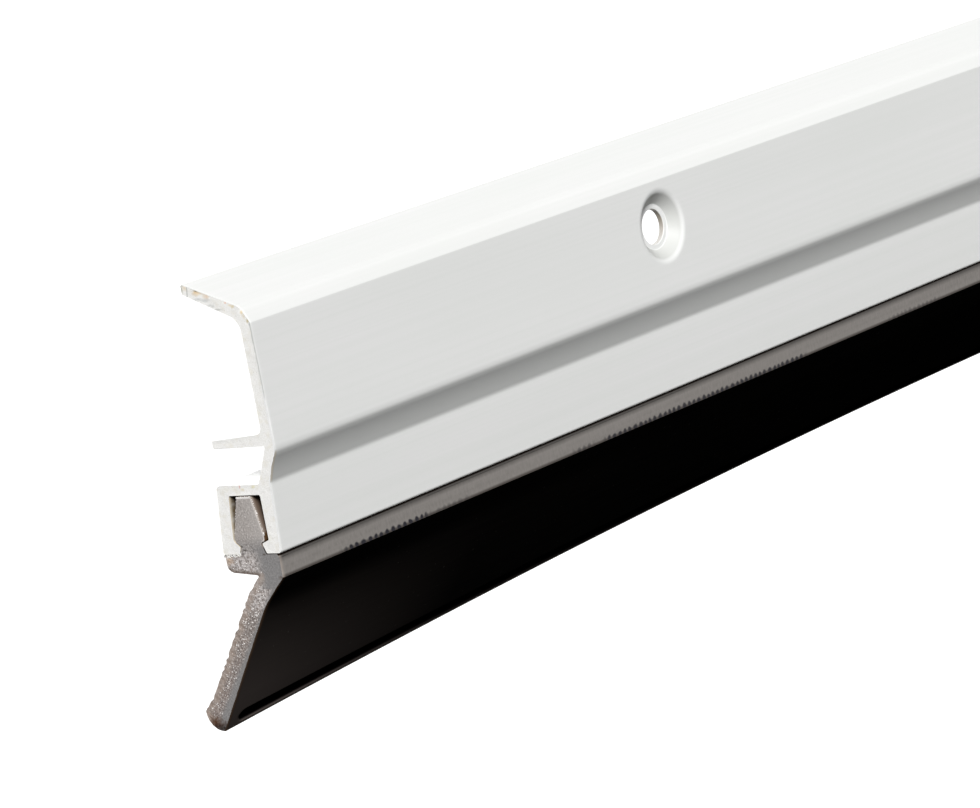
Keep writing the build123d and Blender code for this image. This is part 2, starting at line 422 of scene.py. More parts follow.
sawStains = [
    # (y, z), half width in y and in z, colour of the marks on the sawn end: scorched and tan
    # flecks along the flange's upper edge, grey smears along its lower one, dirt by the lips
    (6.98, 9.4, 0.1, 0.4, "#A9AA9E"), (6.72, 9.83, 0.3, 0.09, "#A5A393"),
    (6.55, 9.5, 0.24, 0.25, "#F0E4CF"), (4.9, 8.86, 0.6, 0.22, "#E8D3B2"),
    (5.2, 9.0, 0.3, 0.16, "#E6CAA0"), (4.95, 9.12, 0.55, 0.08, "#A09B88"),
    (3.76, 8.45, 0.34, 0.3, "#EFDCC6"), (4.01, 8.05, 0.5, 0.16, "#D6D7D5"),
    (5.1, 8.2, 0.5, 0.14, "#DADBD9"), (3.5, 7.48, 0.26, 0.12, "#CDCECB"),
    (3.15, 7.36, 0.2, 0.14, "#D2D3CF"), (2.55, 6.97, 0.5, 0.1, "#CACAC6"),
    (1.33, 7.62, 0.13, 0.1, "#F2CDB4"), (0.43, 7.19, 0.2, 0.16, "#DFCFA6"),
    (0.78, 7.32, 0.2, 0.1, "#EEDFC4"), (-0.6, 6.49, 0.14, 0.17, "#E2CA96"),
    (-0.82, 6.15, 0.2, 0.3, "#EFE6D3"), (-1.18, 5.56, 0.14, 0.2, "#BCAF8A"),
    (-1.42, 5.2, 0.1, 0.16, "#A2A3A6"), (4.45, -11.89, 0.09, 0.15, "#E0A79B"),
    (2.59, -11.95, 0.25, 0.13, "#E8E2BE"), (4.1, -12.2, 0.2, 0.14, "#E6DCC4"),
    (6.32, -17.42, 0.18, 0.18, "#A98242"), (5.5, -12.86, 0.6, 0.05, "#9A6A3A"),
    (3.0, -12.86, 0.4, 0.05, "#8A5A2A"),
]
nicks = [
    # (y, z), half width in y and z, depth and reach along the strip of bites in the sawn edge
    ((4.95, 9.12), (0.5, 0.26), 0.42, 0.8), ((3.8, 8.85), (0.3, 0.2), 0.1, 0.35),
    ((0.5, 7.4), (0.35, 0.2), 0.1, 0.35), ((-0.65, 6.7), (0.3, 0.3), 0.12, 0.35),
    ((-1.32, 5.6), (0.2, 0.35), 0.1, 0.35),
]


def extrudedRigidPvc():
    # Rigid white PVC, extruded through a polished die: a bright, even, half-gloss skin with faint lines
    # and slow waves that run the length of the strip, dirty inside the channel and painted darker there
    # with depth as shade. Painted shade also greys the set-back, the countersinks, the bores and a
    # strip along the cut's edge
    material, add, place = newMaterial("extruded rigid white PVC", 0.42, 0.25)
    dieLine = 0.5         # mm between the marks of the die; real ones are finer
    slowWave = 4.0        # mm, sink and stretch of the cooling skin
    streaks = grain(add, place, dieLine, (400, 1, 1), 3.0)
    cloud = grain(add, place, 9.0, (4, 1, 1))
    x, y, z = [add("SeparateXYZ", {0: place}, axis) for axis in "XYZ"]
    fromEnd = add("Math ABSOLUTE", {0: x})
    fromEnd = add("Math SUBTRACT", {0: length / 2, 1: fromEnd})
    tone = add("ValToRGB", {"Fac": streaks}, stops=[(0.3, "#E6E7E5"), (0.7, "#EAEAE9")])
    tone = paint(add, tone, "#E3E5E2", add("MapRange", {0: cloud, 1: 0.35, 2: 0.75, 4: 0.5}))
    # painted shade: the set-back under the bend faces down, away from the light, and is greyed for its
    # shade
    setBack = within(add, z, roofTop + 0.4, bendZ - 0.2, 0.4)
    outside = within(add, y, None, legTopY + 0.2, 0.2)
    tone = paint(add, tone, "#C3C4C2", setBack, outside)
    tone = paint(add, tone, "#B8AE9C", setBack, within(add, fromEnd, None, 0.2, 0.2), 0.7)
    # painted shade: a grey strip along the cut's edge on the front faces and on the flange damps the
    # light that the rounded edge catches
    cutEdge = within(add, fromEnd, None, 0.07, 0.07)
    tone = paint(add, tone, "#C4C6C3", cutEdge, within(add, z, -2.0, 5.4, 1.0), outside)
    tone = paint(add, tone, "#D8D9D6", cutEdge, within(add, z, 6.4, None, 0.5))
    across = add("Math PINGPONG", {0: x, 1: holePitch / 2})
    across = add("Math SUBTRACT", {0: holePitch / 2, 1: across})
    fromHole = add("CombineXYZ", {"X": across, "Z": z})
    fromHole = add("VectorMath LENGTH", {0: fromHole}, "Value")
    # painted shade: the inner part of each countersink's cone is greyed for the shade deeper in the
    # dimple, and its outer rim stays bright
    sunk = within(add, y, webFront + 0.32, 2.0, 0.22)
    ledge = c["sinkRadius"] - c["sinkDepth"]
    cone = within(add, fromHole, ledge + 0.1, c["sinkRadius"] + 0.2, 0.1)
    tone = paint(add, tone, "#C9CAC7", sunk, cone)
    # painted shade: the bores of the screw holes are greyed, browner and darker towards their top,
    # where the wall faces down
    bore = within(add, fromHole, None, c["holeRadius"] + 0.04, 0.03)
    deepIn = within(add, y, 0.0, 2.0, 0.08)
    tone = paint(add, tone, "#C2BFBA", bore, deepIn)
    tone = paint(add, tone, "#A1998D", bore, deepIn, within(add, z, 0.6, 5.0, 2.2))
    # dirt and painted shade: inside the channel the skin turns brown and then near black with depth
    # from the cut
    depth = add("Math DIVIDE", {0: fromEnd, 1: 6.0})
    dirtAndDepthShade = add("ValToRGB", {"Fac": depth},
               stops=[(0.0, "#CFC3AE"), (0.07, "#6E604C"), (0.2, "#2A1E12"), (1.0, "#1C120A")])
    patchy = grain(add, place, 0.7, (2, 1, 1))
    patchy = add("MapRange", {0: patchy, 1: 0.3, 2: 0.6, 3: 0.75, 4: 1.0})
    low = within(add, z, footZ + 0.25, roofUnder + 0.05, 0.05)
    deep = within(add, y, channelFront - 0.05, rearLegInner(footZ) + 0.05, 0.1)
    tone = paint(add, tone, dirtAndDepthShade, low, deep, patchy)
    waves = grain(add, place, slowWave, (60, 1, 1), 1.0)
    return finishMaterial(material, add, tone, (waves, 0.05), (streaks, 0.0015))


def sawnRigidPvc():
    # The same PVC where a saw went through: whiter, dull and finely torn, with scorched or dirty
    # flecks, a painted highlight along its lower front edge and a scratch across the end of the flange
    material, add, place = newMaterial("sawn rigid white PVC", 0.7, 0.2)
    rim = add("Attribute", {}, "Fac", attribute_name="rim")
    faceFront = add("Attribute", {}, "Fac", attribute_name="faceFront")
    speck = grain(add, place, 0.16, detail=3.0, roughness=0.65)
    blotch = grain(add, place, 0.9)
    fray = grain(add, place, 0.3, detail=4.0, roughness=0.7)
    y, z = [add("SeparateXYZ", {0: place}, axis) for axis in "YZ"]
    tone = add("ValToRGB", {"Fac": speck}, stops=[(0.3, "#EFEEE9"), (0.5, "#F8F7F4"), (0.7, "#FFFEFC")])
    tone = paint(add, tone, "#EDE9DD", add("MapRange", {0: blotch, 1: 0.52, 2: 0.75, 4: 0.7}))
    tone = paint(add, tone, "#C9C7C0", add("MapRange", {0: fray, 1: 0.62, 2: 0.7, 4: 0.6}))
    # painted highlight: a white line along the front edge of the cut, below the set-back
    edgeHighlight = within(add, rim, None, 0.1, 0.06)
    tone = paint(add, tone, "#FFFFFF", edgeHighlight, faceFront, within(add, z, None, -2.0, 1.0))
    front = within(add, rim, None, 0.03, 0.07)
    tone = paint(add, tone, "#9FA19E", front, faceFront, within(add, z, 3.6, 5.6, 0.6), 0.7)
    tone = paint(add, tone, "#ABADAA", front, faceFront, within(add, z, -2.0, 3.6, 1.5), 0.5)
    slanted = add("Math SUBTRACT", {0: z, 1: 9.62})
    slanted = add("Math MULTIPLY_ADD", {0: slanted, 1: 0.18, 2: y})
    scratch = within(add, slanted, 6.17, 6.24, 0.06)
    tone = paint(add, tone, "#A3A5A2", scratch, within(add, z, 8.0, 10.0, 0.1), 0.7)
    tone = spots(add, place, tone, sawStains, fray)
    return finishMaterial(material, add, tone, (speck, 0.03))


def carrierCorners():
    # the section's corners, round from the flange's edge
    slant = Vector((c["stepRun"], -c["stepDrop"])).normalized()
    square = Vector((-slant.y, slant.x))
    stepMiddle = Vector((webFront + c["stepRun"] / 2, bendZ - c["stepDrop"] / 2))
    stepMiddle += c["stepHollow"] * square
    stepBack = Vector((webFront, bendZ)) + c["webWall"] * square
    slope = slant.y / slant.x
    bendBackZ = stepBack.y - stepBack.x * slope
    roofRootY = stepBack.x + (roofTop - stepBack.y) / slope
    finZ = bendBackZ + c["finAboveBend"]
    edge = c["edgeCorner"]
    window, rear, spans = c["window"], c["rearWindow"], c["windowSpans"]
    return [
        (c["doorGap"], flangeTopZ, edge),
        (bevelY, bevelZ, c["outerCorner"]),
        (webFront, c["webAboveScrews"], edge),
        (webFront, window, 0, spans),
        (webFront, -window, 0),
        (webFront, bendZ, c["stepUpperCorner"]),
        (stepMiddle.x, stepMiddle.y, c["stepHollowCorner"]),
        (legTopY, roofTop, c["stepLowerCorner"]),
        (legFootY, footZ, c["footCorner"]),
        (frontFootY, footZ, edge),
        (frontTipY, frontTipZ, edge),
        (channelFront, lipRootZ, edge),
        (channelFront, roofUnder, edge),
        (rearLegInner(roofUnder), roofUnder, edge),
        (rearLegInner(lipRootZ), lipRootZ, edge),
        (rearTipY, rearTipZ, edge),
        (rearFootY, footZ, edge),
        (rearLegOuter(footZ), footZ, c["footCorner"]),
        (rearLegOuter(roofTop), roofTop, c["rearTopCorner"]),
        (roofRootY, roofTop, edge),
        (0, bendBackZ, 0),
        (0, finZ, 0),
        (c["doorGap"], finZ, edge),
        (c["doorGap"], finZ + c["finTipWall"], edge),
        (0, finZ + c["finRootWall"], c["finRootCorner"]),
        (0, -rear, 0, spans),
        (0, rear, 0),
        (0, innerCornerZ, c["innerCorner"]),
        (c["doorGap"], flangeLowZ, edge),
    ]


def windowLoop(rings, column, row, rowStep):
    # the points round one window of the tube, the same way round and from the same corner
    n = c["windowSpans"]
    loop = [rings[column + k][row] for k in range(n)]
    loop += [rings[column + n][row + k * rowStep] for k in range(n)]
    loop += [rings[column + n - k][row + n * rowStep] for k in range(n)]
    return loop + [rings[column][row + (n - k) * rowStep] for k in range(n)]


def carrierMesh():
    outline = roundPath(carrierCorners())
    n = c["windowSpans"]
    columns = [c["window"] * (2 * k / n - 1) for k in range(n + 1)]
    places = placesAlong([(6.0, 180.0), (30.0, length)])
    places = [p for p in places if all(abs(p - h) > c["window"] + 1.5 for h in holePlaces)]
    places = sorted(places + [h + k for h in holePlaces for k in columns])

    def columnOf(place):
        return min(range(len(places)), key=lambda i: abs(places[i] - place))

    def rowOf(y, z):
        return min(range(len(outline)), key=lambda i: (outline[i] - Vector((y, z))).length)

    starts = [columnOf(h - c["window"]) for h in holePlaces]
    frontRow = rowOf(webFront, c["window"])
    rearRow = rowOf(0, -c["rearWindow"])

    def inWindow(i, j):
        inRows = frontRow <= j < frontRow + n or rearRow <= j < rearRow + n
        return inRows and any(start <= i < start + n for start in starts)

    rng = random.Random(c["seed"])
    sections = [raggedEdge(outline, min(p, length - p), c, rng) for p in places]
    bm, rings = sweep(sections, [nearEnd + p for p in places], inWindow)
    profile = roundPath([
        (c["window"] - 0.12, webFront, 0),
        (c["sinkRadius"], webFront, c["sinkRim"]),
        (c["sinkRadius"] - c["sinkDepth"], webFront + c["sinkDepth"], c["holeEdge"]),
        (c["holeRadius"], webFront + c["sinkDepth"], c["holeEdge"]),
        (c["holeRadius"], c["collarRise"], c["holeEdge"]),
        (c["collarTip"], c["collarRise"], c["holeEdge"]),
        (c["collarRoot"], 0, c["holeEdge"]),
        (c["collarRoot"] + 0.2, 0, 0),
    ], closed=False, support=0.05)
    for start, h in zip(starts, holePlaces):
        front = windowLoop(rings, start, frontRow + n, -1)
        rear = windowLoop(rings, start, rearRow, 1)
        turns = [math.atan2(v.co.z, v.co.x - (nearEnd + h) * mm) for v in front]
        loops = [front]
        for r, y in profile:
            ring = [Vector((nearEnd + h + r * math.cos(t), y, r * math.sin(t))) * mm for t in turns]
            loops.append([bm.verts.new(spot) for spot in ring])
        loops.append(rear)
        for a, b in zip(loops, loops[1:]):
            for k in range(len(a)):
                m = (k + 1) % len(a)
                bm.faces.new((a[k], a[m], b[m], b[k]))
    for end, facing in ((0, 1), (-1, -1)):
        sawnFace(bm, rings[end], sections[end], facing, c, lambda y, z: 0.0, rng)
    for nick in nicks:
        chip(bm, *nick)
    addBurr(bm, rng)
    return bm


def addBurr(bm, rng):
    # the saw left a fringe of small torn crumbs under the rear leg's foot and a few up its back
    for _ in range(c["footCrumbs"]):
        y = rng.uniform(rearTipY + 0.25, rearLegOuter(footZ))
        z = footZ + rng.uniform(-0.12, 0.08)
        z -= abs(rng.gauss(0, 0.12)) * ease(y, rearTipY, rearTipY + 1.2)
        crumb(bm, (nearEnd + rng.uniform(0, 0.2), y, z), rng.uniform(0.05, 0.12), rng, 1)
    for _ in range(c["legCrumbs"]):
        z = footZ + rng.uniform(0, 2.4)
        centre = (nearEnd + rng.uniform(0.05, 0.2), rearLegOuter(z) - 0.03, z)
        crumb(bm, centre, rng.uniform(0.05, 0.1), rng, 1)


carrier = finishMesh(carrierMesh(), "carrier_extrusion", [extrudedRigidPvc(), sawnRigidPvc()])
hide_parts("carrier")
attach(carrier, "root")


# Blade

bladeSizes = {
    "neckGap": 0.05, "barbGap": 0.05, "roofGap": 0.09, "barbReach": 0.6, "barbEdge": 0.7,
    "barbCorner": 0.3, "rootTop": 2.05, "rootShift": 0.22, "edgeCorner": 0.2,
    "shoulderSetback": 0.42, "shoulderRearInset": 0.2, "shoulderFront": 2.6, "shoulderRear": 1.9,
    "shoulderNose": 0.4, "shoulderHeel": 1.0, "throatRaise": 0.37, "throatCorner": 0.08,
    "rootWall": 2.45, "tipWall": 2.75, "wiperLength": 21.3, "tipBulge": 0.65,
    # its rear face ends short of the front one and flares out over the last stretch
    "tipSlant": 0.61, "tipFlare": 0.36, "flareLength": 2.7,
    "rootHang": 47.5, "endHang": 34.7, "swing": 16.5, "bendStart": 2.8, "bendRun": 3.6,
    "droopLength": 180.0, "droopPower": 2.3,
    # a shallow groove along the front of the wiper leaves a bead at its lower edge
    "beadWidth": 0.35, "grooveWidth": 1.75, "grooveBorder": 0.15, "grooveFlat": 0.9,
    "grooveDepth": 0.42, "grooveStart": 1.9, "grooveEnd": 0.7,
    # the saw dragged the rear edge of the wiper into small teeth
    "toothPitch": 1.2, "toothDepth": 0.22, "toothReach": 0.8,
    "cutReach": 0.25, "cutRound": 0.05, "cutFade": 2, "cutRagged": 0.02,
    "sawGrain": 0.14, "sawSmooth": 0.012, "sawRough": 0.07,
    # crumbs on the torn part of the cut and round the root
    "tornCrumbs": 210, "rootCrumbs": 110, "seed": 23,
    # how many spans the wiper's faces are drawn in, and how many steps its middle line takes
    "frontSpans": 40, "grooveSpans": 36, "backSpans": 130, "tipSpans": 14, "lineSteps": 426,
}
b = bladeSizes
shoulderFront = legFootY + b["shoulderSetback"]
shoulderRear = rearLegOuter(footZ) - b["shoulderRearInset"]
cornerZ = footZ - b["shoulderFront"]       # where the shoulder's front turns into the wiper
# how far up from the tip the wiper's front face is drawn with close points
grooveReach = b["beadWidth"] + b["grooveWidth"] + 0.3

cutMarks = [
    # (y, z), half width in y and in z, colour on the sawn blade: scorched along the tip, tan
    # and dark at the shoulder's corners, dark specks by the neck
    (14.6, -37.6, 0.9, 0.6, "#5A3A1E"), (14.3, -37.85, 1.1, 0.6, "#331C0B"),
    (13.75, -38.15, 1.2, 0.4, "#140B05"), (7.97, -19.75, 0.5, 0.4, "#BCA693"),
    (8.35, -21.0, 0.4, 0.3, "#64574C"), (5.77, -18.3, 0.1, 0.1, "#2E2C2A"),
    (5.45, -18.75, 0.14, 0.1, "#46403A"), (2.45, -18.5, 0.12, 0.16, "#5E5148"),
    (2.9, -19.2, 0.16, 0.08, "#4A4039"),
]
shadedChatterRuns = [
    # stretches of ticks, painted shade in small dents: from, to, strength
    (9.5, 25.5, 1.0), (25.0, 33.0, 0.3), (51.0, 56.0, 0.5), (57.0, 100.0, 0.9), (118.0, 131.0, 0.35),
]


def extrudedFlexiblePvc():
    # Flexible PVC, extruded: a warm grey, matt, slightly mottled skin. Painted shade darkens it under
    # the carrier's foot, with a dark brown line in the crevice there, and towards the corner above the
    # wiper; inside the channel it is dirty and painted darker with depth as shade, and rows of small
    # dark ticks, painted shade in small dents, mark the corner above the wiper
    material, add, place = newMaterial("extruded flexible grey PVC", 0.7, 0.1)
    x, z = [add("SeparateXYZ", {0: place}, axis) for axis in "XZ"]
    fromNear = add("Math SUBTRACT", {0: x, 1: nearEnd})
    streaks = grain(add, place, 0.5, (60, 1, 1), 3.0)
    mottle = grain(add, place, 0.3, (1, 1, 2.5), 3.0)
    tone = add("ValToRGB", {"Fac": streaks}, stops=[(0.3, "#7E7A76"), (0.7, "#87837F")])
    tone = paint(add, tone, "#918C88", add("MapRange", {0: mottle, 1: 0.35, 2: 0.7, 4: 0.6}))
    # painted shade: the top of the shoulder band, under the overhang of the carrier's foot
    tone = paint(add, tone, "#504D4A", within(add, z, footZ - 0.3, footZ + 1, 0.7))
    # painted shade: darker towards the corner where the band turns down into the wiper
    tone = paint(add, tone, "#4C4743", within(add, z, None, cornerZ + 0.12, 0.25))
    tone = paint(add, tone, "#A79C93", within(add, fromNear, None, 0.1, 0.4), 0.5)
    # painted shade: small dark ticks where chatter dents of the extrusion hold shade along the corner
    tickPitch, tickWide, tickHigh = 1.0, 0.33, 0.3      # mm
    wander = grain(add, place, 2.5, detail=0.0)
    comb = add("Math MULTIPLY_ADD", {0: wander, 1: 0.8, 2: fromNear})
    comb = add("Math PINGPONG", {0: comb, 1: tickPitch / 2})
    height = add("Math SUBTRACT", {0: z, 1: cornerZ + 0.05})
    sway = grain(add, place, 0.8, detail=0.0)
    height = add("Math MULTIPLY_ADD", {0: sway, 1: -0.3, 2: height})
    tick = add("CombineXYZ", {"X": add("Math DIVIDE", {0: comb, 1: tickWide}),
                              "Y": add("Math DIVIDE", {0: height, 1: tickHigh})})
    tick = add("VectorMath LENGTH", {0: tick}, "Value")
    tick = add("MapRange", {0: tick, 1: 0.7, 2: 1.25, 3: 1.0, 4: 0.0})
    stretch = 0.0
    for first, last, strength in shadedChatterRuns:
        here = within(add, fromNear, first + 1.5, last - 1.5, 1.5)
        here = add("Math MULTIPLY", {0: here, 1: strength})
        stretch = add("Math MAXIMUM", {0: stretch, 1: here})
    tone = paint(add, tone, "#26252A", tick, stretch)
    # painted shade: a dark brown line in the crevice under the carrier's foot
    tone = paint(add, tone, "#1A0D05", within(add, z, footZ - 0.22, footZ + 1, 0.07))
    # dirt and painted shade: the root inside the channel turns brown and then near black with depth
    # from the cut
    depth = add("Math DIVIDE", {0: fromNear, 1: 6.0})
    dirtAndDepthShade = add("ValToRGB", {"Fac": depth},
               stops=[(0.0, "#A0968D"), (0.07, "#6E5E52"), (0.22, "#1E120A")])
    tone = paint(add, tone, dirtAndDepthShade, within(add, z, footZ + 0.9, 0.0, 0.3))
    tone = paint(add, tone, "#4A300F", within(add, z, lipRootZ - 0.5, lipRootZ + 0.6, 0.3), 0.9)
    return finishMaterial(material, add, tone, (mottle, 0.012), (streaks, 0.004))


def sawnFlexiblePvc():
    # Flexible PVC where the saw dragged through it: smooth and bluish towards the front, torn into
    # glittering salt and pepper further back, tan and ribbed along the wiper's rear edge with painted
    # shade between the ribs. Painted highlight lines the root's cut edges that face up and forward, and
    # painted shade the shoulder's edges that face down
    material, add, place = newMaterial("sawn flexible grey PVC", 0.75, 0.25)
    rim, torn, faceUp, faceFront = [add("Attribute", {}, "Fac", attribute_name=name)
                                    for name in ("rim", "torn", "faceUp", "faceFront")]
    z = add("SeparateXYZ", {0: place}, "Z")
    speck = grain(add, place, 0.2, detail=3.0, roughness=0.65)
    coarse = grain(add, place, 0.3, detail=3.0, roughness=0.6)
    smooth = add("ValToRGB", {"Fac": speck}, stops=[(0.3, "#777575"), (0.7, "#949291")])
    root = add("ValToRGB", {"Fac": speck}, stops=[(0.3, "#9D9793"), (0.7, "#C2BCB8")])
    smooth = paint(add, smooth, root, within(add, z, lipRootZ + 0.5, 0.0, 1.5))
    rough = add("ValToRGB", {"Fac": speck},
                stops=[(0.3, "#4A4340"), (0.44, "#7F7773"), (0.57, "#988F8A"), (0.67, "#EFEBE8")])
    tone = paint(add, smooth, rough, torn)
    wave = grain(add, place, 0.8)
    tone = paint(add, tone, "#94877F", add("MapRange", {0: wave, 1: 0.45, 2: 0.7, 4: 0.5}), torn)
    glitter = add("MapRange", {0: coarse, 1: 0.42, 2: 0.6, 4: 0.95})
    tone = paint(add, tone, "#CCC6C4", within(add, z, cornerZ - 3.0, footZ + 0.3, 1.0), torn, glitter)
    low = add("MapRange", {0: z, 1: cornerZ - 5.0, 2: cornerZ - 13.0, 4: 0.3})
    tone = paint(add, tone, "#80706A", torn, low)
    below = within(add, z, None, cornerZ + 0.5, 0.5)
    toRear = add("Math MULTIPLY", {0: faceFront, 1: -1.0}, use_clamp=True)
    rear = within(add, rim, None, 0.45, 0.5)
    tone = paint(add, tone, "#B0A298", rear, toRear, below, 0.7)
    # painted shade: darker stripes between the saw's ribs along the wiper's rear edge
    downWiper = (0, 0.616, -0.788)
    run = add("VectorMath DOT_PRODUCT", {0: place, 1: downWiper}, "Value")
    run = add("Math MULTIPLY_ADD", {0: coarse, 1: 0.5, 2: run})
    ribs = add("Math PINGPONG", {0: run, 1: b["toothPitch"] / 2})
    ribs = add("MapRange", {0: ribs, 1: 0.05, 2: 0.3, 3: 0.7, 4: 0.0})
    tone = paint(add, tone, "#8E7E74", ribs, rear, toRear, below)
    # painted shade: darker along the shoulder's cut edges that face down
    shoulder = within(add, z, cornerZ, footZ, 0.3)
    under = within(add, faceUp, None, -0.5, 0.3)
    tone = paint(add, tone, "#5C4F45", shoulder, under, within(add, rim, None, 0.15, 0.3), 0.8)
    # burr and painted highlight: pale lines along the root's cut edges that face up and forward, where
    # the burr catches the light
    inChannel = within(add, z, lipRootZ, 0.0, 0.3)
    upwards = within(add, faceUp, 0.6, None, 0.2)
    tone = paint(add, tone, "#F4F1EE", inChannel, upwards, within(add, rim, None, 0.12, 0.1))
    forwards = within(add, faceFront, 0.3, None, 0.2)
    tone = paint(add, tone, "#DDD7D2", inChannel, forwards, within(add, rim, None, 0.08, 0.12))
    tone = spots(add, place, tone, cutMarks, coarse)
    depth = add("Math MULTIPLY", {0: coarse, 1: torn})
    return finishMaterial(material, add, tone, (depth, 0.08), (speck, 0.04))


def shadePaintedWiperPvc():
    # The same grey PVC on the wiper's own faces, dead matt and painted near black as the shade they sit
    # in: painted lighter towards the sawn corner and lower down where the drooping end meets the light,
    # a painted highlight along the bead, painted shade in the groove, brown beside the cut
    material, add, place = newMaterial("extruded flexible grey PVC with painted wiper shade", 0.8, 0.0)
    x, z = [add("SeparateXYZ", {0: place}, axis) for axis in "XZ"]
    fromNear = add("Math SUBTRACT", {0: x, 1: nearEnd})
    streaks = grain(add, place, 0.5, (30, 1, 1), 3.0)
    dust = grain(add, place, 0.5, detail=1.0)
    # painted shade: the wiper's grey PVC is drawn near black
    tone = add("ValToRGB", {"Fac": streaks}, stops=[(0.3, "#161413"), (0.7, "#1C1A18")])
    # painted light: paler towards the sawn corner and lower down the wiper, where the drooping end
    # turns towards the light
    low = add("MapRange", {0: z, 1: cornerZ - 2.0, 2: cornerZ - 13.0})
    tone = paint(add, tone, "#544D4A", within(add, fromNear, None, 4.0, 36.0), low)
    tone = paint(add, tone, "#6A6663", add("MapRange", {0: dust, 1: 0.74, 2: 0.8, 4: 0.4}))
    # painted highlight: the bead is paler where it catches the light
    bead = add("Attribute", {}, "Fac", attribute_name="bead")
    tone = paint(add, tone, "#5C534C", add("MapRange", {0: bead}))
    # painted shade: the groove is painted black
    tone = paint(add, tone, "#050303", add("MapRange", {0: bead, 1: 0.0, 2: -0.6}))
    tone = paint(add, tone, "#54402F", within(add, fromNear, None, 0.12, 0.5), 0.8)
    return finishMaterial(material, add, tone, (streaks, 0.004))


def paleCrumbPvc():
    # Crumbs that the saw threw up and rubbed pale
    material, add, place = newMaterial("torn pale PVC crumbs", 0.5, 0.5)
    fleck = grain(add, place, 0.1)
    tone = add("ValToRGB", {"Fac": fleck}, stops=[(0.3, "#D6D1CD"), (0.6, "#FAF8F6")])
    return finishMaterial(material, add, tone, (fleck, 0.02))


def wiperHang(run, endHang):
    # angle from the vertical at a run down the wiper
    bent = ease(run, b["bendStart"], b["bendStart"] + b["bendRun"])
    return b["rootHang"] + (endHang - b["rootHang"]) * bent


def droopHang(fromEnd):
    # the lower part droops at the sawn end and lies further back along the rest
    t = clamp(fromEnd / b["droopLength"])
    return b["endHang"] + b["swing"] * (1 - (1 - t) ** b["droopPower"])


def wiperLine(start, endHang):
    # middle of the wiper and its direction at even runs
    line = []
    middle = Vector(start)
    stride = b["wiperLength"] / b["lineSteps"]
    for i in range(b["lineSteps"] + 1):
        hang = math.radians(wiperHang(i * stride, endHang))
        line.append((middle.copy(), hang))
        midway = math.radians(wiperHang((i + 0.5) * stride, endHang))
        middle += Vector((math.sin(midway), -math.cos(midway))) * stride
    return line


def groove(run, fromEnd):
    # how far the wiper's front face is sunk at a run down it
    fromTip = b["wiperLength"] - run
    deepest = b["beadWidth"] + b["grooveBorder"]
    rise = 1 - ease(fromTip, deepest + b["grooveFlat"], b["beadWidth"] + b["grooveWidth"])
    shape = ease(fromTip, b["beadWidth"], deepest) * rise
    offMiddle = 2 * (fromTip - b["beadWidth"]) / b["grooveWidth"] - 1
    start = b["grooveStart"] + b["grooveEnd"] * offMiddle ** 2          # a round end
    return b["grooveDepth"] * shape * ease(fromEnd, start, start + 0.5)


def teeth(run, fromEnd):
    # how far the wiper's rear edge is bitten away beside the cut
    size = clamp(0.55 + 0.9 * noise.noise(Vector((run * 0.6, 4.2, 0.0))))
    shift = 0.8 * noise.noise(Vector((run * 0.35, 9.1, 0.0)))
    wave = 0.5 - 0.5 * math.cos(math.tau * (run / b["toothPitch"] + shift))
    return b["toothDepth"] * size * wave * (1 - ease(fromEnd, 0, b["toothReach"]))


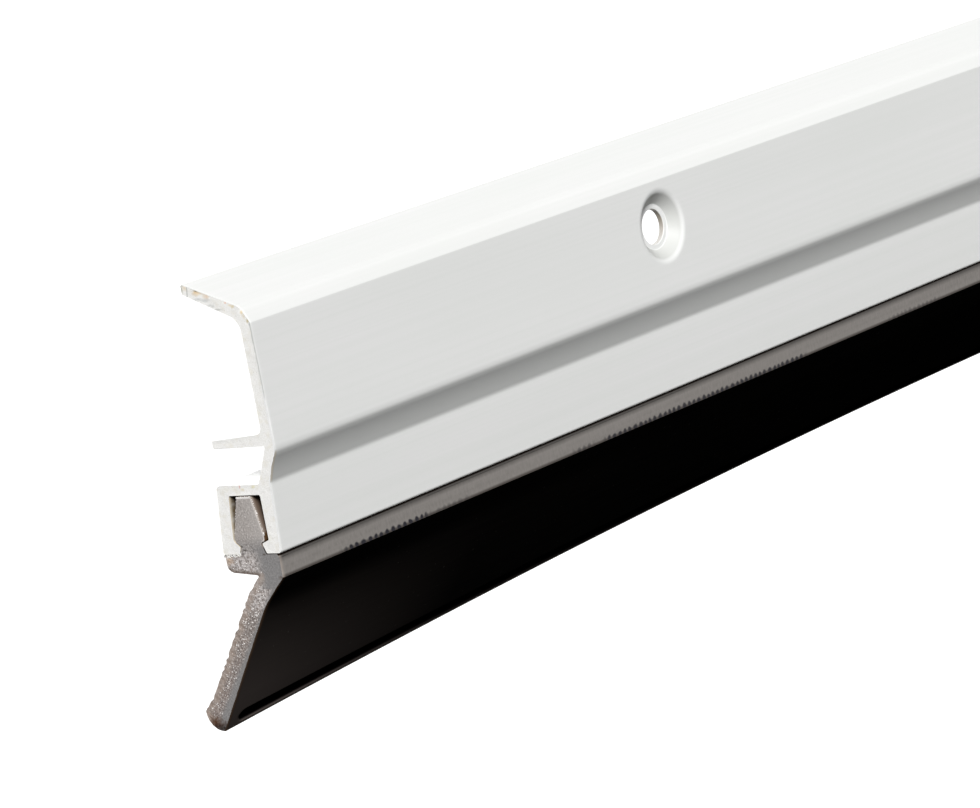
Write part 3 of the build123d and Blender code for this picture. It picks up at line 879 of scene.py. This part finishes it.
def bladeSection(fromEnd):
    neckFront = frontTipY + b["neckGap"]
    neckRear = rearTipY - b["neckGap"]
    middle = (neckFront + neckRear) / 2

    def frontLipTop(y):
        return lipRootZ - (y - channelFront) * lean(c["frontLipSlope"])

    def rearLipTop(y):
        return rearTipZ + (y - rearTipY) * lean(c["rearLipSlope"])

    barbFront = neckFront - b["barbReach"]
    barbRear = neckRear + b["barbReach"]
    barbFrontZ = frontLipTop(barbFront) + b["barbGap"]
    barbRearZ = rearLipTop(barbRear) + b["barbGap"]
    rootTop = roofUnder - b["roofGap"]
    edge, barb = b["edgeCorner"], b["barbCorner"]
    start = Vector((shoulderFront, cornerZ))
    hang = math.radians(b["rootHang"])
    throat = b["rootWall"] * math.tan(hang)          # run at which the back face meets the shoulder
    square = Vector((math.cos(hang), math.sin(hang)))
    slant = Vector((math.sin(hang), -math.cos(hang)))
    throatPoint = start + square * b["rootWall"] + slant * (throat - b["throatRaise"])
    line = wiperLine(start + square * (b["rootWall"] / 2), droopHang(fromEnd))
    endRun = min(fromEnd, length - fromEnd)
    rearEnd = b["wiperLength"] - b["tipSlant"]

    def face(run, side):
        share = run / b["wiperLength"]
        place, angle = line[round(share * b["lineSteps"])]
        wall = b["rootWall"] + (b["tipWall"] - b["rootWall"]) * share
        if side > 0:
            sunk = teeth(run, endRun) - b["tipFlare"] * ease(run, rearEnd - b["flareLength"], rearEnd)
        else:
            sunk = groove(run, endRun)
        return place + Vector((math.cos(angle), math.sin(angle))) * (side * (wall / 2 - sunk))

    root = roundPath([
        (start.x, start.y, 0, 6),
        (shoulderFront, footZ, b["shoulderNose"]),
        (frontFootY + b["neckGap"], footZ, 0),
        (neckFront, frontLipTop(neckFront) + b["barbGap"], edge),
        (barbFront, barbFrontZ, barb),
        (barbFront, barbFrontZ + b["barbEdge"], barb),
        (middle - b["rootShift"] - b["rootTop"] / 2, rootTop, edge),
        (middle - b["rootShift"] + b["rootTop"] / 2, rootTop, edge),
        (barbRear, barbRearZ + b["barbEdge"], barb),
        (barbRear, barbRearZ, barb),
        (neckRear, rearLipTop(neckRear) + b["barbGap"], edge),
        (rearFootY - b["neckGap"], footZ, 0),
        (shoulderRear, footZ, edge),
        (shoulderRear, footZ - b["shoulderRear"], b["shoulderHeel"]),
        (throatPoint.x, throatPoint.y, b["throatCorner"]),
        (throatPoint.x + slant.x, throatPoint.y + slant.y, 0),
    ], closed=False)[:-1]
    run = throat + 1.0
    n = b["backSpans"]
    back = [face(run + (rearEnd - run) * i / n, 1) for i in range(n + 1)]
    n = b["grooveSpans"]
    front = [face(b["wiperLength"] - grooveReach * i / n, -1) for i in range(n)]
    n = b["frontSpans"]
    front += [face((b["wiperLength"] - grooveReach) * (1 - i / n), -1) for i in range(n)]
    chord = front[0] - back[-1]
    half = chord.length / 2
    radius = (half ** 2 + b["tipBulge"] ** 2) / (2 * b["tipBulge"])
    between = (front[0] + back[-1]) / 2
    centre = between - Vector((-chord.y, chord.x)).normalized() * (radius - b["tipBulge"])
    arc = math.asin(half / radius)
    tip = []
    for i in range(b["tipSpans"] - 1, 0, -1):
        arm = (between - centre).normalized() * radius
        arm.rotate(Matrix.Rotation(arc * (2 * i / b["tipSpans"] - 1), 2))
        tip.append(centre + arm)
    return root + back + tip + front


def tornShare(y, z):
    # how rough the saw left the blade here: fine at the root, torn at the rear and down the wiper
    hang = math.radians(b["endHang"] + 3)
    below = max(0.0, cornerZ - z)
    fromFront = (y - shoulderFront - below * math.tan(hang)) * math.cos(hang)
    wiper = ease(fromFront, 0.5, 1.3)
    shoulder = ease(y, shoulderFront + 2.2, shoulderFront + 4.2)
    fading = 0.25 + 0.75 * (1 - ease(z, footZ - 1.0, footZ + 1.5))      # up into the root
    return clamp((shoulder if below < 1.2 else wiper) * fading)


def bladeMesh():
    places = placesAlong([(4.0, 60.0), (6.0, 180.0), (30.0, length)])
    rng = random.Random(b["seed"])
    sections = [raggedEdge(bladeSection(p), min(p, length - p), b, rng) for p in places]
    bm, rings = sweep(sections, [nearEnd + p for p in places])
    onBead = bm.verts.layers.float["bead"]
    first = len(rings[0]) - b["frontSpans"] - b["grooveSpans"]     # the front face's point at the tip
    for p, loop in zip(places, rings):
        for k in range(-b["tipSpans"], b["grooveSpans"]):
            fromTip = grooveReach * k / b["grooveSpans"]
            sunk = groove(b["wiperLength"] - fromTip, min(p, length - p)) / b["grooveDepth"]
            loop[first + k][onBead] = 1 - ease(fromTip, 0.8 * b["beadWidth"], b["beadWidth"]) - sunk
    for end, facing in ((0, 1), (-1, -1)):
        sawnFace(bm, rings[end], sections[end], facing, b, tornShare, rng)
    # the wiper's faces below the corner take the near-black material, which is painted shade
    for face in bm.faces:
        if face.material_index == 0 and face.calc_center_median().z / mm < cornerZ + 0.05:
            face.material_index = 2
    addCrumbs(bm, sections[0], rng)
    return bm


def addCrumbs(bm, loop, rng):
    # pale crumbs glitter on the torn middle of the cut and fringe the root
    outline = Outline(loop)
    placed = 0
    while placed < b["tornCrumbs"]:
        spot = Vector((rng.uniform(shoulderFront, shoulderRear + 8), rng.uniform(footZ - 17.5, footZ)))
        gap, inside, _ = outline.measure(spot)
        if inside and gap > 0.4 and rng.random() < tornShare(spot.x, spot.y):
            crumb(bm, (nearEnd + 0.03, spot.x, spot.y), rng.uniform(0.03, 0.085), rng, 3)
            placed += 1
    rearSide = (channelFront + rearLegInner(roofUnder)) / 2 + 1.0
    rootEdge = []
    for p, q in zip(loop, loop[1:]):
        if p.y > lipRootZ + (0.2 if p.x < rearSide else 2.6):
            rootEdge.append((p, q))
    lengths = [(q - p).length for p, q in rootEdge]
    for _ in range(b["rootCrumbs"]):
        p, q = rng.choices(rootEdge, lengths)[0]
        spot = p.lerp(q, rng.random())
        crumb(bm, (nearEnd + rng.uniform(0.03, 0.12), spot.x, spot.y), rng.uniform(0.04, 0.09), rng, 3)


blade = finishMesh(bladeMesh(), "blade_extrusion",
                   [extrudedFlexiblePvc(), sawnFlexiblePvc(), shadePaintedWiperPvc(), paleCrumbPvc()])
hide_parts("blade")
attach(blade, "root")


# Floor, background and light

# the floor lies floorDrop millimetres down, is floorSize metres to each side and glows by
# floorGlow to the camera; roomLight is the even light of the room, and floorBounce the share of
# light that comes back off the floor
setSizes = {
    "floorDrop": 250.0, "floorSize": 40.0, "floorGlow": 0.3, "floorBounce": 0.015, "roomLight": 0.02,
}

lamps = {
    # name: direction it comes from as azimuth from the front towards the near end, elevation,
    # share of plain light that a white card facing it gets, and softness in degrees
    "softbox_over_camera": (45.3, 34.5, 1.45, 20),
    "soft_fill_behind": (200, 14, 0.75, 60),
}


def seenDirect(add):
    # 1 for what the camera, a reflection or a clear material sees
    seen = add("LightPath", {}, "Is Camera Ray")
    for kind in ("Is Glossy Ray", "Is Transmission Ray"):
        seen = add("Math MAXIMUM", {0: seen, 1: add("LightPath", {}, kind)})
    return seen


def emptied(owner):
    # clears a material or a world, and gives a way to add its nodes
    owner.use_nodes = True
    owner.node_tree.nodes.clear()
    return functools.partial(addNode, owner.node_tree)


def makeFloor():
    material = bpy.data.materials.new("matt studio floor")
    add = emptied(material)
    pale = add("BsdfDiffuse", {"Color": "#F4F4F4"})
    glow = add("Emission", {"Color": "#FFFFFF", "Strength": setSizes["floorGlow"]})
    seen = add("AddShader", {0: pale, 1: glow})
    bounce = add("BsdfDiffuse", {"Color": (setSizes["floorBounce"],) * 3 + (1,)})
    add("OutputMaterial", {"Surface": add("MixShader", {0: seenDirect(add), 1: bounce, 2: seen})})
    bm = bmesh.new()
    bmesh.ops.create_grid(bm, x_segments=4, y_segments=4, size=setSizes["floorSize"])
    floor = finishMesh(bm, "studio_floor", [material])
    floor.location.z = -setSizes["floorDrop"] * mm


def makeWorld():
    world = bpy.data.worlds.new("studio")
    bpy.context.scene.world = world
    add = emptied(world)
    white = add("Background", {"Color": "#FFFFFF", "Strength": 1.0})
    dim = add("Background", {"Color": "#FFFFFF", "Strength": setSizes["roomLight"]})
    add("OutputWorld", {"Surface": add("MixShader", {0: seenDirect(add), 1: dim, 2: white})})


def addLamp(name, azimuth, elevation, share, softness):
    lamp = bpy.data.lights.new(name, "SUN")
    lamp.energy = share * math.pi
    lamp.angle = math.radians(softness)
    a, e = math.radians(azimuth), math.radians(elevation)
    towards = Vector((-math.cos(e) * math.sin(a), -math.cos(e) * math.cos(a), math.sin(e)))
    holder = bpy.data.objects.new(name, lamp)
    holder.rotation_euler = towards.to_track_quat("Z", "Y").to_euler()
    bpy.context.collection.objects.link(holder)


makeFloor()
makeWorld()
for lampName, values in lamps.items():
    addLamp(lampName, *values)
bpy.context.scene.view_settings.view_transform = "Standard"
print("floor, background and lamps set")


# Camera

view = {
    "place": (-788.6, -303.6, 64.3),            # mm
    "forward": (0.76253, 0.62721, -0.15856),
    "up": (0.23985, -0.04645, 0.96970),         # the camera was tipped about 11 degrees to one side
    "lens": 161.6, "sensor": 36.0,
    "clip": (0.02, 200),                        # metres
}


def makeCamera():
    data = bpy.data.cameras.new("photo_camera")
    data.lens = view["lens"]
    data.sensor_width = view["sensor"]
    data.clip_start, data.clip_end = view["clip"]
    camera = bpy.data.objects.new("photo_camera", data)
    bpy.context.collection.objects.link(camera)
    forward = Vector(view["forward"]).normalized()
    right = forward.cross(Vector(view["up"])).normalized()
    up = right.cross(forward)
    turn = Matrix((right, up, -forward)).transposed().to_4x4()
    camera.matrix_world = Matrix.Translation(Vector(view["place"]) * mm) @ turn
    bpy.context.scene.camera = camera
    print("camera set")


makeCamera()
